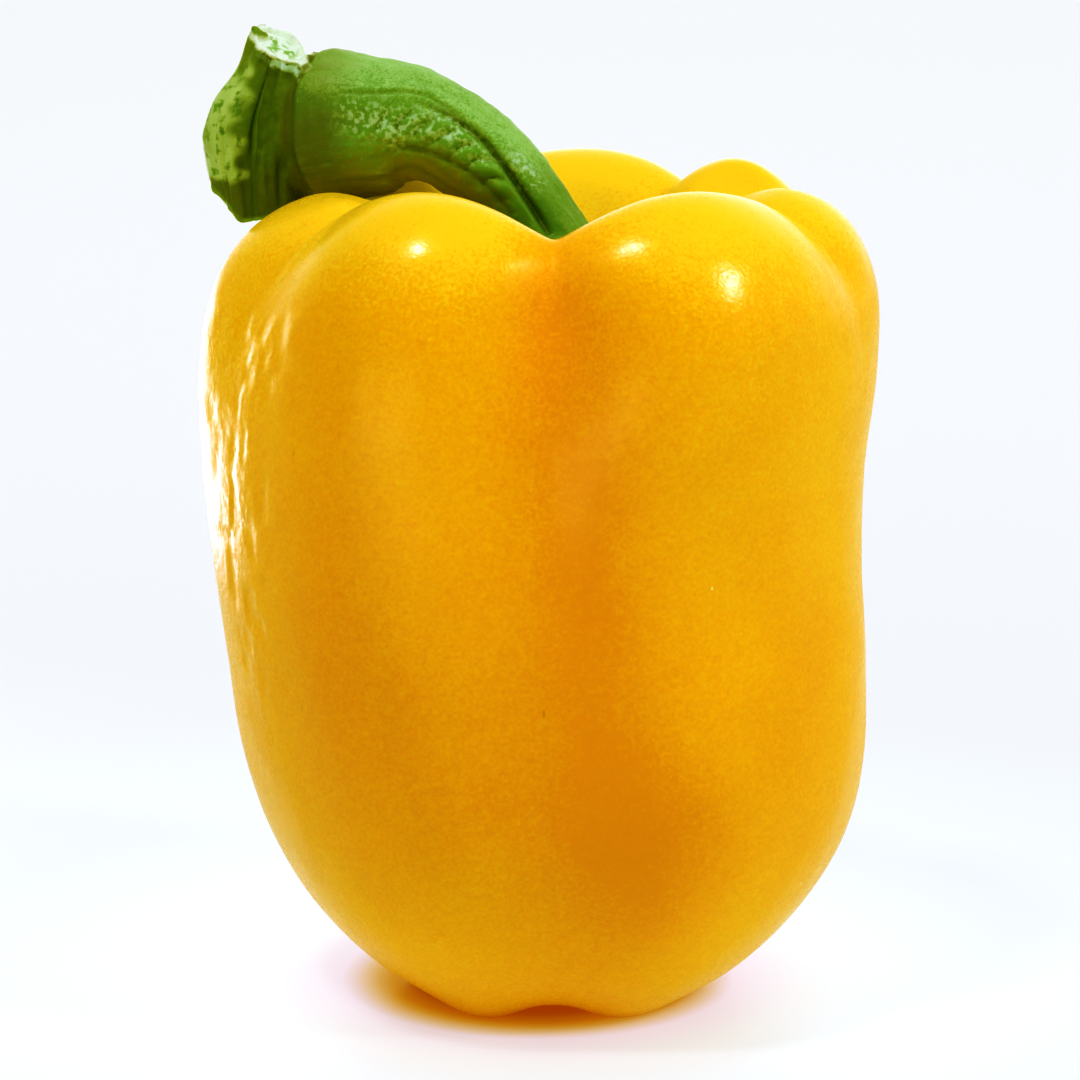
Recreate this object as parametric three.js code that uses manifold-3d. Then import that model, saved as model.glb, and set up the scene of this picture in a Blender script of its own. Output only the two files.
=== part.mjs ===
// A ripe yellow bell pepper standing on its lobes. It is two grown pieces: the blocky, lobed
// fruit with its sunken top, and the green stem with the calyx at its foot and, at its other
// end, the short length of branch that was cut away with it.
// Millimetres, +Z up. The fruit's front faces -Y, and the origin lies on the surface that the
// fruit stands on, under the middle of its bounding box.

import * as THREE from "three";
import { mergeVertices } from "three/addons/utils/BufferGeometryUtils.js";
import Module from "manifold-3d";

const wasm = await Module();
wasm.setup();

const FRUIT_HEIGHT = 103; // the tallest shoulder over the resting surface, before each lobe's own
const GAP = 0.6; // clear space between the calyx and the fruit it sits on

// The fruit's outline, from the scar under it (first) out over the foot, up the side, over the
// shoulder and down into the sunken top (last). A lobe's middle follows CREST and the bottom of
// a groove follows VALLEY. Each point is a radius and a height.
const CREST = [
  [0, 4.6], [7, 2.9], [14.8, -0.8], [23.8, 2.9], [31.2, 10.6], [36.4, 20.2],
  [39.2, 31.2], [40.3, 43], [40.7, 55], [41.1, 67], [41.6, 79], [40.4, 90],
  [35.8, 98.7], [28.1, FRUIT_HEIGHT], [20.2, 100.2], [14.2, 93.4], [7.4, 90], [0, 89.6],
];
const VALLEY = [
  [0, 4.6], [6.6, 4.5], [13.4, 3.4], [21.8, 5.8], [29.2, 12.8], [34.2, 22],
  [36.9, 32.4], [38, 43.8], [38.3, 55.4], [38.3, 67], [37.6, 78], [35.4, 87.8],
  [31.6, 94.8], [26.4, 98.2], [20, 96.2], [14, 91.8], [7.4, 90], [0, 89.6],
];
// The fruit leans a little: how far its axis stands to the right at each of those points.
const AXIS_X = [
  0.5, 0.5, 0.8, 1.2, 1.3, 1.5, 1.2, 0.4, -0.9, -1.3, -0.5, 0.3, 0.8, 1.1, 1.1, 0.8, 0.4, 0.2,
].map((shift) => [shift]);

// Stretches of the outline, counted in its points: where each one starts, is fully reached,
// starts to end and has ended.
const FOOT = [-1, 0, 2.5, 7];
const SIDE = [3, 7, 11.5, 14];
const SHOULDER = [9.5, 12.6, 17, 18];
const RIM = [10.5, 13, 13.4, 15];

// The grooves, in degrees counter-clockwise from +X, with how strongly each one shows at the
// foot, on the side and at the shoulder. They are listed counter-clockwise from the front.
const GROOVES = [
  { at: -91, foot: 1, side: 1, shoulder: 1 },
  { at: -21, foot: 0.7, side: 0.45, shoulder: 0.95 },
  { at: 18, foot: 0.1, side: 0.15, shoulder: 0.55 },
  { at: 51, foot: 0.95, side: 0.9, shoulder: 0.8 },
  { at: 112, foot: 0.4, side: 0.3, shoulder: 0.45 },
  { at: 162, foot: 0.8, side: 0.75, shoulder: 1 },
  { at: 205, foot: 0.2, side: 0.35, shoulder: 0.7 },
];
// The lobe that follows each groove: how far it stands out on its side, and how much higher its
// shoulder is.
const LOBES = [
  { out: 0.2, rise: 1.2 },
  { out: -0.5, rise: -1.1 },
  { out: -0.4, rise: -0.2 },
  { out: 0.4, rise: 0 },
  { out: 0.2, rise: 0.6 },
  { out: 0.1, rise: -2.3 },
  { out: 0.8, rise: 0.3 },
];
const SOFT_VALLEY = 2; // a groove's shape on the side: a smooth wave
const SHARP_VALLEY = 0.95; // and at the shoulder: a fold
const FOLD_RADIUS = 0.07; // how round the bottom of a fold is, as a share of its lobe
// Low swellings that wind round the side: their number, their height, how they turn with each
// millimetre up, and where they start, in radians.
const SWELLINGS = [
  { count: 2, height: 0.35, turn: 0.09, start: 0.6 },
  { count: 3, height: 0.25, turn: -0.12, start: 2 },
];

// The green stem's middle line from the calyx to the branch, with its half height and half
// depth at each point.
const STEM = [
  { at: [0.2, 0.2, 93.2], high: 5.2, deep: 5.2 },
  { at: [0.1, 0.3, 94.3], high: 5, deep: 5 },
  { at: [-0.6, 0.6, 96.2], high: 4.9, deep: 4.8 },
  { at: [-2.8, 1.4, 99.2], high: 5.1, deep: 4.9 },
  { at: [-5.7, 2.3, 102.4], high: 5.6, deep: 5.1 },
  { at: [-8.6, 3.3, 104.7], high: 6, deep: 5.4 },
  { at: [-12.8, 4.4, 107.1], high: 6.4, deep: 5.8 },
  { at: [-17, 5.6, 108.3], high: 7.4, deep: 6.4 },
  { at: [-21.6, 6.6, 108], high: 8.9, deep: 7 },
  { at: [-26.1, 7.8, 107.7], high: 9.6, deep: 7 },
  { at: [-30.6, 8.6, 107.4], high: 8.6, deep: 6 },
  { at: [-34, 9, 107], high: 5.4, deep: 4.4 },
];
const STEM_RIBS = [-82, -32, 28, 92, 150, 215]; // the furrows between the stem's ribs, in degrees
const RIB_DEPTH = 0.07; // a furrow's depth, as a share of the stem's radius

const CALYX_POINTS = 6;
const CALYX_BAY = 15.2; // where the calyx's rim lies between its points, in points of the outline
const CALYX_REACH = 0.62; // how much further out its points are
const CALYX_EDGE = 0.9; // thickness at its rim
const CALYX_ROOT = 2.6; // thickness where the stem starts
const FLARE = 2.2; // how far the stem's foot spreads over the calyx
const FLARE_HEIGHT = 1.7;

// The piece of branch at the stem's end, from its lower cut to its upper one, with its radius.
const BRANCH = [
  { at: [-35.2, 9, 94], radius: 5.4 },
  { at: [-35.8, 9, 99.3], radius: 5.5 },
  { at: [-36.1, 9, 104.6], radius: 5.6 },
  { at: [-35.8, 8.8, 109.9], radius: 5.4 },
  { at: [-34.2, 8.4, 115.2], radius: 4 },
  { at: [-32.5, 7.8, 120.5], radius: 3.8 },
];
const BRANCH_FURROWS = [-110, -72, -20, 40, 100, 165, 215];
const FURROW_DEPTH = 0.12;
const SCAR_SIDE = 185; // the swollen leaf scar on the branch: which way it faces, in degrees
const SCAR_HEIGHT = 106;
const SCAR_SWELL = 1.6;
// Each cut is a plane, given by a point on it and the way it faces.
const TOP_CUT = { at: [-32.8, 7.8, 117.9], faces: [0.4, -0.36, 0.84] };
const SIDE_CUT = { at: [-39.5, 9, 97.8], faces: [-0.72, 0, -0.69] };
const UNDER_CUT = { at: [-37.9, 9, 96.1], faces: [0.19, 0, -0.98] };

// The stem has pressed a bed into the shoulder as it grew: the depth and the height of the
// bed's bottom at equal steps to the left, how round the bed is, and how softly it starts.
const BED = [[4.4, 98], [6, 98.4], [7.4, 96.9], [8.4, 95.9], [8.8, 94.8], [9, 93]];
const BED_START = -13;
const BED_STEP = -6;
const BED_RADIUS = 7.5;
const BED_BLEND = 1.6;

const COLUMN = 4.5; // degrees between the fruit's columns of vertices
const ROWS_A_POINT = 2.3; // rows of vertices to each point of the outline
const STEM_SIDES = 36;

const radians = (degrees) => (degrees * Math.PI) / 180;
const mix = (a, b, share) => a + (b - a) * share;

// 0 below low, 1 above high, and smooth in between.
function smoothStep(low, high, value) {
  const t = Math.min(1, Math.max(0, (value - low) / (high - low)));
  return t * t * (3 - 2 * t);
}

// How far a place lies within a stretch, from 0 outside it to 1 where it is fully reached.
function within([start, full, ending, end], place) {
  return smoothStep(start, full, place) * (1 - smoothStep(ending, end, place));
}

// A uniform Catmull-Rom spline through rows of numbers, read at a place counted in rows.
function along(rows, place) {
  const last = rows.length - 1;
  const start = Math.min(last - 1, Math.max(0, Math.floor(place)));
  const t = place - start;
  const row = (i) => rows[Math.min(last, Math.max(0, i))];
  return row(start).map((b, k) => {
    const a = row(start - 1)[k];
    const c = row(start + 1)[k];
    const d = row(start + 2)[k];
    const leave = (c - a) / 2;
    const arrive = (d - b) / 2;
    return (
      b + leave * t + (3 * (c - b) - 2 * leave - arrive) * t * t +
      (2 * (b - c) + leave + arrive) * t ** 3
    );
  });
}

// Which lobe an angle falls in, and how far across it, from 0 at one groove to 1 at the next.
function lobeAt(grooves, degrees) {
  const turned = ((((degrees - grooves[0]) % 360) + 360) % 360) + grooves[0];
  let lobe = grooves.length - 1;
  while (turned < grooves[lobe]) lobe -= 1;
  const end = lobe + 1 < grooves.length ? grooves[lobe + 1] : grooves[0] + 360;
  return { lobe, across: (turned - grooves[lobe]) / (end - grooves[lobe]) };
}

// 1 in the bottom of a groove and 0 at a lobe's middle. A power of 2 is a soft wave, and one
// under 1 is a sharp fold, whose bottom is rounded a little.
function grooveShape(across, power) {
  const arch = Math.sin(Math.PI * across);
  const round = FOLD_RADIUS;
  const lifted = (Math.hypot(arch, round) - round) / (Math.hypot(1, round) - round);
  return 1 - lifted ** power;
}

const GROOVE_ANGLES = GROOVES.map((groove) => groove.at);

// The lower of two heights, with the corner between them rounded off.
function softLower(a, b, blend) {
  const near = Math.max(0, 1 - Math.abs(a - b) / blend);
  return Math.min(a, b) - (near * near * blend) / 4;
}

// The height of the stem's bed over a point of the plan: a trough with a round bottom.
function bedHeight(x, y) {
  const place = Math.min(BED.length - 1, Math.max(0, (x - BED_START) / BED_STEP));
  const [middle, bottom] = along(BED, place);
  return bottom + (y - middle) ** 2 / (2 * BED_RADIUS);
}

// A point on the fruit's skin, at a place on the outline and an angle.
function skin(place, degrees) {
  const { lobe, across } = lobeAt(GROOVE_ANGLES, degrees);
  const foot = within(FOOT, place);
  const shoulder = within(SHOULDER, place);
  const strengthOf = (groove) =>
    mix(mix(groove.side, groove.foot, foot), groove.shoulder, shoulder);
  const here = GROOVES[lobe];
  const next = GROOVES[(lobe + 1) % GROOVES.length];
  const strength = mix(strengthOf(here), strengthOf(next), smoothStep(0, 1, across));
  const power = mix(SOFT_VALLEY, SHARP_VALLEY, shoulder);
  const valley = strength * grooveShape(across, power);
  const crest = along(CREST, place);
  const low = along(VALLEY, place);
  const { out, rise } = LOBES[lobe];
  const middle = Math.sin(Math.PI * across) ** 2;
  const angle = radians(degrees);
  const height = mix(crest[1], low[1], valley) + rise * middle * within(RIM, place);
  const swelling = SWELLINGS.reduce(
    (sum, wave) =>
      sum + wave.height * Math.sin(wave.count * angle + wave.turn * height + wave.start),
    0,
  );
  const radius = mix(crest[0], low[0], valley) + (out * middle + swelling) * within(SIDE, place);
  const [shift] = along(AXIS_X, place);
  const x = shift + radius * Math.cos(angle);
  const y = radius * Math.sin(angle);
  const bedded = mix(height, softLower(height, bedHeight(x, y), BED_BLEND), shoulder);
  return new THREE.Vector3(x, y, Math.max(0, bedded)); // the feet are pressed flat
}

// Closes a stack of rings, all with the same number of points, with a point at each end.
function closedLoft(rings, firstPoint, lastPoint) {
  const sides = rings[0].length;
  const points = [firstPoint, ...rings.flat(), lastPoint];
  const at = (ring, side) => 1 + ring * sides + (side % sides);
  const end = points.length - 1;
  const index = [];
  for (let side = 0; side < sides; side += 1) {
    index.push(0, at(0, side + 1), at(0, side));
    for (let ring = 0; ring + 1 < rings.length; ring += 1) {
      const [a, b] = [at(ring, side), at(ring, side + 1)];
      const [c, d] = [at(ring + 1, side + 1), at(ring + 1, side)];
      index.push(a, b, c, a, c, d);
    }
    index.push(at(rings.length - 1, side), at(rings.length - 1, side + 1), end);
  }
  return new THREE.BufferGeometry().setFromPoints(points).setIndex(index);
}

function fruitGeometry() {
  const columns = [];
  GROOVE_ANGLES.forEach((start, lobe) => {
    const end = lobe + 1 < GROOVE_ANGLES.length ? GROOVE_ANGLES[lobe + 1] : GROOVE_ANGLES[0] + 360;
    const count = Math.round((end - start) / COLUMN);
    for (let i = 0; i < count; i += 1) columns.push(start + ((end - start) * i) / count);
  });
  const last = CREST.length - 1;
  const rows = Math.round(last * ROWS_A_POINT);
  const rings = [];
  for (let row = 1; row < rows; row += 1)
    rings.push(columns.map((degrees) => skin((last * row) / rows, degrees)));
  return closedLoft(rings, skin(0, 0), skin(last, 0));
}

// The calyx's rim as a place on the fruit's outline: six blunt points, no two alike.
function calyxRim(degrees) {
  const wave = 0.5 + 0.5 * Math.cos(radians(CALYX_POINTS * degrees + 20));
  const uneven = 0.25 * Math.sin(radians(2 * degrees + 40)) + 0.15 * Math.sin(radians(3 * degrees));
  return CALYX_BAY - CALYX_REACH * wave ** 1.5 * (1 + uneven);
}

// A ring of the stem: an oval across its middle line, with furrows between its ribs.
function stemRing(frame, high, deep, furrow) {
  return Array.from({ length: STEM_SIDES }, (_, side) => {
    const degrees = (360 * side) / STEM_SIDES;
    const { across } = lobeAt(STEM_RIBS, degrees);
    const share = 1 - furrow * grooveShape(across, 1);
    return frame.middle
      .clone()
      .addScaledVector(frame.up, high * share * Math.cos(radians(degrees)))
      .addScaledVector(frame.back, deep * share * Math.sin(radians(degrees)));
  });
}

// Frames along a middle line that turn with it and never twist about it.
function framesAlong(points, steps) {
  const last = points.length - 1;
  const middles = Array.from({ length: steps + 1 }, (_, i) =>
    new THREE.Vector3(...along(points, (last * i) / steps)),
  );
  let up = new THREE.Vector3(1, 0, 0);
  return middles.map((middle, i) => {
    const before = middles[Math.max(0, i - 1)];
    const after = middles[Math.min(steps, i + 1)];
    const ahead = after.clone().sub(before).normalize();
    up = up.clone().addScaledVector(ahead, -up.dot(ahead)).normalize();
    return { middle, up, back: ahead.clone().cross(up), place: (last * i) / steps };
  });
}

function calyxAndStemGeometry() {
  const last = CREST.length - 1;
  const angles = Array.from({ length: STEM_SIDES }, (_, side) => (360 * side) / STEM_SIDES);
  const lifted = (place, degrees, lift) => {
    const point = skin(place, degrees);
    point.z += lift;
    return point;
  };
  // Underneath, from the middle out to the rim.
  const under = [0.25, 0.5, 0.75, 1].map((share) =>
    angles.map((degrees) => lifted(mix(last, calyxRim(degrees), share), degrees, GAP)),
  );
  // On top, from the rim in to the foot of the stem.
  const over = [1, 0.9, 0.72, 0.55].map((share) =>
    angles.map((degrees) => {
      const thick = mix(CALYX_EDGE, CALYX_ROOT, ((1 - share) / 0.45) ** 0.8);
      return lifted(mix(last, calyxRim(degrees), share), degrees, GAP + thick);
    }),
  );
  const frames = framesAlong(STEM.map((point) => point.at), 30);
  const rings = frames.map((frame) => {
    const [high, deep] = along(STEM.map((point) => [point.high, point.deep]), frame.place);
    const rise = frame.middle.z - STEM[0].at[2];
    const flare = frame.place < 3 ? FLARE * Math.exp(-rise / FLARE_HEIGHT) : 0;
    const furrow = RIB_DEPTH * (1 - smoothStep(9, 10.5, frame.place));
    return stemRing(frame, high + flare, deep + flare, furrow);
  });
  return closedLoft(
    [...under, ...over, ...rings],
    lifted(last, 0, GAP),
    frames[frames.length - 1].middle,
  );
}

// How far above a cut's plane a point is, measured straight up.
function overPlane(cut, point) {
  const faces = new THREE.Vector3(...cut.faces);
  return new THREE.Vector3(...cut.at).sub(point).dot(faces) / faces.z;
}

function branchGeometry() {
  const steps = 12;
  const last = BRANCH.length - 1;
  const rings = Array.from({ length: steps + 1 }, (_, i) => {
    const place = (last * i) / steps;
    const [x, y, z] = along(BRANCH.map((point) => point.at), place);
    const [radius] = along(BRANCH.map((point) => [point.radius]), place);
    return Array.from({ length: STEM_SIDES }, (_, side) => {
      const degrees = (360 * side) / STEM_SIDES;
      const { across } = lobeAt(BRANCH_FURROWS, degrees);
      const facing = Math.cos(radians(degrees - SCAR_SIDE)) * 0.5 + 0.5;
      const scar = SCAR_SWELL * facing ** 4 * Math.exp(-(((z - SCAR_HEIGHT) / 5) ** 2));
      const reach = radius * (1 - FURROW_DEPTH * grooveShape(across, 1)) + scar;
      const point = new THREE.Vector3(
        x + reach * Math.cos(radians(degrees)),
        y + reach * Math.sin(radians(degrees)),
        z,
      );
      const ceiling = overPlane(TOP_CUT, point);
      const floor = Math.max(overPlane(SIDE_CUT, point), overPlane(UNDER_CUT, point));
      point.z += Math.min(0, ceiling) + Math.max(0, floor);
      return point;
    });
  });
  const middleOf = (ring) =>
    ring.reduce((sum, point) => sum.add(point), new THREE.Vector3()).divideScalar(ring.length);
  return closedLoft(rings, middleOf(rings[0]), middleOf(rings[steps]));
}

function solidOf(geometry) {
  const merged = mergeVertices(geometry, 1e-4);
  return new wasm.Manifold(
    new wasm.Mesh({
      numProp: 3,
      vertProperties: merged.attributes.position.array,
      triVerts: new Uint32Array(merged.index.array),
    }),
  );
}

function geometryOf(solid) {
  const mesh = solid.getMesh();
  return new THREE.BufferGeometry()
    .setAttribute("position", new THREE.BufferAttribute(mesh.vertProperties, 3))
    .setIndex(new THREE.BufferAttribute(mesh.triVerts, 1));
}

const skinMaterial = new THREE.MeshStandardMaterial({
  color: 0xf6ae0a,
  roughness: 0.28,
  metalness: 0,
});
const stemMaterial = new THREE.MeshStandardMaterial({
  color: 0x3f7d1c,
  roughness: 0.55,
  metalness: 0,
});

const fruit = new THREE.Mesh(fruitGeometry(), skinMaterial);
fruit.name = "fruit";

const stem = new THREE.Mesh(
  geometryOf(solidOf(calyxAndStemGeometry()).add(solidOf(branchGeometry()))),
  stemMaterial,
);
stem.name = "stem_and_calyx";

const pepper = new THREE.Group();
pepper.add(fruit, stem);

// Brings the origin under the middle of the bounding box.
const bounds = new THREE.Box3().setFromObject(pepper);
const middle = bounds.getCenter(new THREE.Vector3());
for (const piece of pepper.children) piece.position.set(-middle.x, -middle.y, 0);

export default pepper;
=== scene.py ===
# %% [markdown]
# # A ripe yellow bell pepper
# This notebook dresses a bell pepper whose size, place and main shape are already settled in a
# fixed frame. A pepper is two grown things: the blocky, lobed, waxy fruit, and the green stem,
# with the calyx at its foot and a short length of the branch at its other end. Each of the two
# is worked out again here on a much finer grid, then gets the relief, the colours and the gloss
# of the real thing. All the shapes are worked out in millimetres and stored in metres.

# %% Load the frame
import itertools
import math

import bpy
import numpy as np
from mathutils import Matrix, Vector


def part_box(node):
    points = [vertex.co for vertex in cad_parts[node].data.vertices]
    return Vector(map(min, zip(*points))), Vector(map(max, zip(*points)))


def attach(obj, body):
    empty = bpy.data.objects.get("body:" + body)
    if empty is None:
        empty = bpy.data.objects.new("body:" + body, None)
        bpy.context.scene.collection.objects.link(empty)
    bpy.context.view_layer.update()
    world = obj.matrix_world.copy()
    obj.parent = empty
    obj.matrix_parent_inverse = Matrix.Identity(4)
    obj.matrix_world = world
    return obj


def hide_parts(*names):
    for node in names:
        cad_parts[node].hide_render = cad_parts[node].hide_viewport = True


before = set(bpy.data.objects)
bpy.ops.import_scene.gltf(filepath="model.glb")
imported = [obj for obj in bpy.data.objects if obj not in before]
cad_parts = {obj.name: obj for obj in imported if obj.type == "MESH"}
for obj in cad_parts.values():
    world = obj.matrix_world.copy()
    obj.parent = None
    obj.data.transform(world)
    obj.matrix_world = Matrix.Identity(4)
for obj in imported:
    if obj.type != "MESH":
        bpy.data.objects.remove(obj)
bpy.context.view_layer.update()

MM = 0.001

# %% [markdown]
# ## The camera
# The photograph looks at the pepper from half a metre away, a little from above, with a long
# lens. A long lens keeps both sides of the fruit nearly parallel. The camera could also be
# placed by eye, but a distance, a rise and a point that it looks at say plainly where it stands.

# %% Camera
CAMERA_DISTANCE = 0.5
CAMERA_RISE = math.radians(12)
CAMERA_AIM = Vector((0.00027, -0.00127, 0.0571))
LENS_MM = 133.83


def add_camera():
    data = bpy.data.cameras.new("camera")
    data.lens = LENS_MM
    camera = bpy.data.objects.new("camera", data)
    back = Vector((0, -math.cos(CAMERA_RISE), math.sin(CAMERA_RISE)))
    camera.location = CAMERA_AIM + CAMERA_DISTANCE * back
    camera.rotation_euler = (-back).to_track_quat("-Z", "Y").to_euler()
    bpy.context.scene.collection.objects.link(camera)
    bpy.context.scene.camera = camera
    return camera


print("camera stands at", [round(x, 3) for x in add_camera().location])

# %% [markdown]
# ## Writing materials as sums
# A material is a web of nodes, and so is the glow of a room. Drawn by hand such a web is hard to
# read back, so a small class wraps a node's output, and adding or multiplying two of them makes
# the Math node that does it. All the other nodes come from one method.

# %% Wires
class Wire:
    """One output of a node in a material. Sums and products of wires make Math nodes."""

    def __init__(self, tree, socket=None):
        self.tree, self.socket = tree, socket

    def node(self, kind, settings=None, sockets=None, out=0):
        """Adds a node: its settings first, then the values or links of its sockets."""
        made = self.tree.nodes.new(kind)
        for name, value in (settings or {}).items():
            if name == "stops":
                self.set_stops(made.color_ramp, value)
            else:
                setattr(made, name, value)
        for name, value in (sockets or {}).items():
            if isinstance(value, Wire):
                self.tree.links.new(value.socket, made.inputs[name])
            else:
                made.inputs[name].default_value = value
        return Wire(self.tree, made.outputs[out])

    @staticmethod
    def set_stops(ramp, stops):
        for place, _ in stops[2:]:
            ramp.elements.new(place)
        for element, (place, colour) in zip(ramp.elements, stops):
            element.position, element.color = place, colour

    def math(self, operation, *values, clamp=False):
        settings = {"operation": operation, "use_clamp": clamp}
        return self.node("ShaderNodeMath", settings, dict(enumerate(values)))

    def __add__(self, other):
        return self.math("ADD", self, other)

    def __sub__(self, other):
        return self.math("SUBTRACT", self, other)

    def __rsub__(self, other):
        return self.math("SUBTRACT", other, self)

    def __mul__(self, other):
        return self.math("MULTIPLY", self, other)

    __radd__ = __add__
    __rmul__ = __mul__


# %% Words for materials
def new_finish(name):
    """An empty material, its principled shader and a wire to start from. Light under the surface
    is worked out the quick way, which looks the same on pieces as thick as these."""
    material = bpy.data.materials.new(name)
    material.use_nodes = True
    shader = material.node_tree.nodes["Principled BSDF"]
    shader.subsurface_method = "BURLEY"
    return material, shader, Wire(material.node_tree)


def value_on(start, name):
    """The number kept on each point of the mesh under a name."""
    return start.node("ShaderNodeAttribute", {"attribute_name": name}, out="Fac")


def clouds(start, place, size_mm, detail=2.0, distortion=0.0, stretch=(1, 1, 1)):
    """Smooth random shades from about 0.3 to 0.7, with spots of about a size in millimetres."""
    scale = [1 / (size_mm * MM * along_axis) for along_axis in stretch]
    spread = start.node("ShaderNodeMapping", {}, {"Vector": place, "Scale": scale})
    sockets = {"Vector": spread, "Scale": 1.0, "Detail": detail, "Distortion": distortion}
    return start.node("ShaderNodeTexNoise", {}, sockets, out="Fac")


def step_up(start, value, low, high):
    """A smooth step of a wire from 0 at low to 1 at high."""
    settings = {"interpolation_type": "SMOOTHSTEP"}
    sockets = {"Value": value, "From Min": low, "From Max": high}
    return start.node("ShaderNodeMapRange", settings, sockets)


def blend(start, share, first, second):
    """One colour where share is 0 and another where it is 1."""
    sockets = {0: share, 6: first, 7: second}
    return start.node("ShaderNodeMix", {"data_type": "RGBA"}, sockets, out=2)


def ramp(start, share, stops):
    """Colours at stops along a share from 0 to 1, blended in between."""
    sockets = {"Fac": share}
    return start.node("ShaderNodeValToRGB", {"stops": stops}, sockets, out="Color")


def flecks(start, place, size_mm, radius, chance, stretch=(1, 1, 1)):
    """Small marks: 1 near the middle of a few of the cells of a random cell pattern."""
    scale = [1 / (size_mm * MM * along_axis) for along_axis in stretch]
    spread = start.node("ShaderNodeMapping", {}, {"Vector": place, "Scale": scale})
    cells = {"Vector": spread, "Scale": 1.0}
    distance = start.node("ShaderNodeTexVoronoi", {}, cells, out="Distance")
    colour = start.node("ShaderNodeTexVoronoi", {}, cells, out="Color")
    pick = start.node("ShaderNodeSeparateColor", {}, {"Color": colour}, out="Red")
    chosen = start.math("LESS_THAN", pick, chance)
    return chosen * (1 - step_up(start, distance, radius * 0.5, radius))


def set_constants(shader, **constants):
    """Numbers and colours that are the same all over a surface."""
    for name, value in constants.items():
        shader.inputs[name.replace("_", " ")].default_value = value


def feed(shader, **wires):
    """Links what varies over a surface to the shader's sockets."""
    for name, wire in wires.items():
        wire.tree.links.new(wire.socket, shader.inputs[name.replace("_", " ")])


def bumpy(start, height, depth_mm):
    """A normal tilted by a height, which is worth so many millimetres at 1, half of it shown."""
    sockets = {"Strength": 0.5, "Distance": depth_mm * MM, "Height": height}
    return start.node("ShaderNodeBump", {}, sockets)


# %% [markdown]
# ## The studio
# The pepper stands on a white, faintly glowing surface, whose glow is painted dark and warm as a
# shadow under it, in a room that is bright behind it and dim towards the camera. A lit window
# stands close behind it on the left, and a lower one nearer by draws the white streak down the
# left edge. Two lamps, one high over the left shoulder and one in front on the right, light the
# skin and leave the small bright spots on the shoulders, and a long, dim, warm panel behind the
# camera fills in low down. A few plain lights like these can be moved one by one until each
# reflection sits where the photograph has it, which a picture of a whole room wouldn't allow.

# %% Floor
FLOOR_HALF = 6.0
FLOOR_COLOUR = (0.2, 0.22, 0.25, 1)
# The glow of the surface at shares of the way from the fruit's foot out to GLOW_REACH: close to
# the foot a painted shadow, dark orange like light bounced off the skin, then a ring painted
# brighter, which hides the shade that the fruit casts, and then an even glow.
GLOW_REACH = 0.4
FLOOR_GLOWS_AND_PAINTED_SHADOW = [
    (0.039, (0.28, 0.03, 0, 1)), (0.0485, (0.4, 0.1, 0, 1)), (0.0625, (0.65, 0.55, 0.65, 1)),
    (0.085, (0.66, 0.67, 0.68, 1)), (0.115, (0.65, 0.71, 0.74, 1)), (0.21, (0.54, 0.57, 0.59, 1)),
    (0.35, (0.5, 0.505, 0.51, 1)), (1, (0.515, 0.515, 0.515, 1)),
]
FRUIT_MIDDLE = Vector((0, 0, 0.055))


def add_floor():
    corners = [(-1, -1, 0), (1, -1, 0), (1, 1, 0), (-1, 1, 0)]
    mesh = bpy.data.meshes.new("floor")
    mesh.from_pydata([Vector(corner) * FLOOR_HALF for corner in corners], [], [(0, 1, 2, 3)])
    floor = bpy.data.objects.new("floor", mesh)
    bpy.context.scene.collection.objects.link(floor)
    paint, shader, start = new_finish("white surface with painted shadow")
    set_constants(shader, Base_Color=FLOOR_COLOUR, Roughness=0.5, Emission_Strength=1.0)
    place = start.node("ShaderNodeTexCoord", out="Object")
    far = start.node("ShaderNodeVectorMath", {"operation": "LENGTH"}, {0: place}, out="Value")
    # Painted shadow and painted light: dark orange under the fruit, brighter in a ring round it.
    glow = ramp(start, far * (1 / GLOW_REACH), FLOOR_GLOWS_AND_PAINTED_SHADOW)
    feed(shader, Emission_Color=glow)
    mesh.materials.append(paint)


add_floor()
print("the floor is", 2 * FLOOR_HALF, "m wide")

# %% Lights
WHITE = (1.0, 1.0, 1.0)
COOL = (0.95, 0.975, 1.0)
WARM = (1.0, 0.85, 0.7)
WINDOW_SPREAD = 80


def add_softbox(name, place, width, height, brightness, colour=WHITE, spread=180):
    """A lit rectangle at a place in metres that faces the middle of the fruit. Its brightness is
    what a camera would read off it, 1 being white, so its power is that times its area and pi. A
    beam spread over fewer degrees is stronger in its middle: by t / (t - half), where half is
    half the spread and t its tangent. The power is divided by that, so that it reads the same."""
    data = bpy.data.lights.new(name, "AREA")
    data.shape = "RECTANGLE"
    data.size, data.size_y = width, height
    data.energy = brightness * math.pi * width * height
    if spread < 180:
        half = math.radians(spread) / 2
        data.spread = 2 * half
        data.energy *= 1 - half / math.tan(half)
    data.color = colour
    light = bpy.data.objects.new(name, data)
    light.location = place
    light.rotation_euler = (FRUIT_MIDDLE - light.location).to_track_quat("-Z", "Y").to_euler()
    bpy.context.scene.collection.objects.link(light)


add_softbox("window", (-0.142, 0.18, 0.07), 0.1, 0.055, 6, COOL, WINDOW_SPREAD)
add_softbox("low window", (-0.146, 0.178, 0.023), 0.07, 0.036, 11, COOL, WINDOW_SPREAD)
add_softbox("high lamp", (-0.6, -0.6, 2.0), 0.26, 0.26, 106)
add_softbox("front lamp", (1.5, -0.72, 1.2), 0.24, 0.24, 97)
add_softbox("low panel", (-0.48, -0.8, 0.06), 0.9, 0.12, 5, WARM)

# %% The room's glow
ROOM_COLOUR = (0.95, 0.975, 1.0, 1)
ROOM_EVEN = 0.06
# Soft glows: which way each lies and how bright it is in its middle.
GLOWS = [("Y", 1.9), ("Z", 0.42), ("X", 0.8)]
# Blue as it is, and as it is shown.
BLUE_TONES = [(0.06, 0.003), (0.16, 0.016), (0.36, 0.14), (0.72, 0.66)]


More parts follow.
